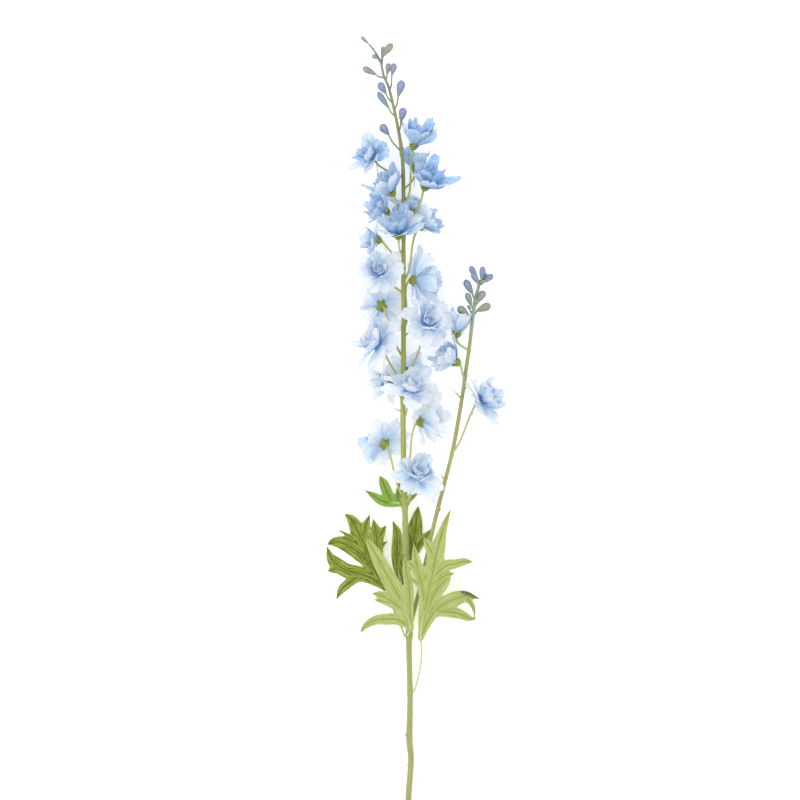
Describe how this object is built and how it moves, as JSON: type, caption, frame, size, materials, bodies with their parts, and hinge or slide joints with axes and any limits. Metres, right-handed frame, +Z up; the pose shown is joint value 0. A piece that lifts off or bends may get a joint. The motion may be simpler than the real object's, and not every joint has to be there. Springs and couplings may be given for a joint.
{
  "type": "delphinium flower spike",
  "caption": "Cut stem of double delphinium lying flat, with a budded tip, a loose spike of double blooms, a side shoot and palm-shaped leaves.",
  "frame": {"origin": "on the resting surface, under the middle of the outline box", "axes": "+Y along the stem from its cut end to its tip, +X to the side shoot's side, +Z up from the resting surface"},
  "size_m": [0.1948, 0.8618, 0.0841],
  "materials": {
    "stem": "satin",
    "petals": "matte",
    "pale_leaf": "matte",
    "deep_leaf": "matte"
  },
  "bodies": {
    "root": {"stem": "stem", "bloom_01": "petals", "bloom_02": "petals", "bloom_03": "petals", "bloom_04": "petals", "bloom_05": "petals", "bloom_06": "petals", "bloom_07": "petals", "bloom_08": "petals", "bloom_09": "petals", "bloom_10": "petals", "bloom_11": "petals", "bloom_12": "petals", "bloom_13": "petals", "bloom_14": "petals", "bloom_15": "petals", "bloom_16": "petals", "bloom_17": "petals", "bloom_18": "petals", "bloom_19": "petals", "bloom_20": "petals", "bloom_21": "petals", "side_bloom_1": "petals", "side_bloom_2": "petals", "side_bloom_3": "petals", "leaf_front_left": "pale_leaf", "leaf_front_right": "pale_leaf", "leaf_back_left": "deep_leaf", "leaf_back_right": "deep_leaf", "leaf_upper_left": "deep_leaf", "leaf_upper_right": "deep_leaf"}
  },
  "joints": []
}
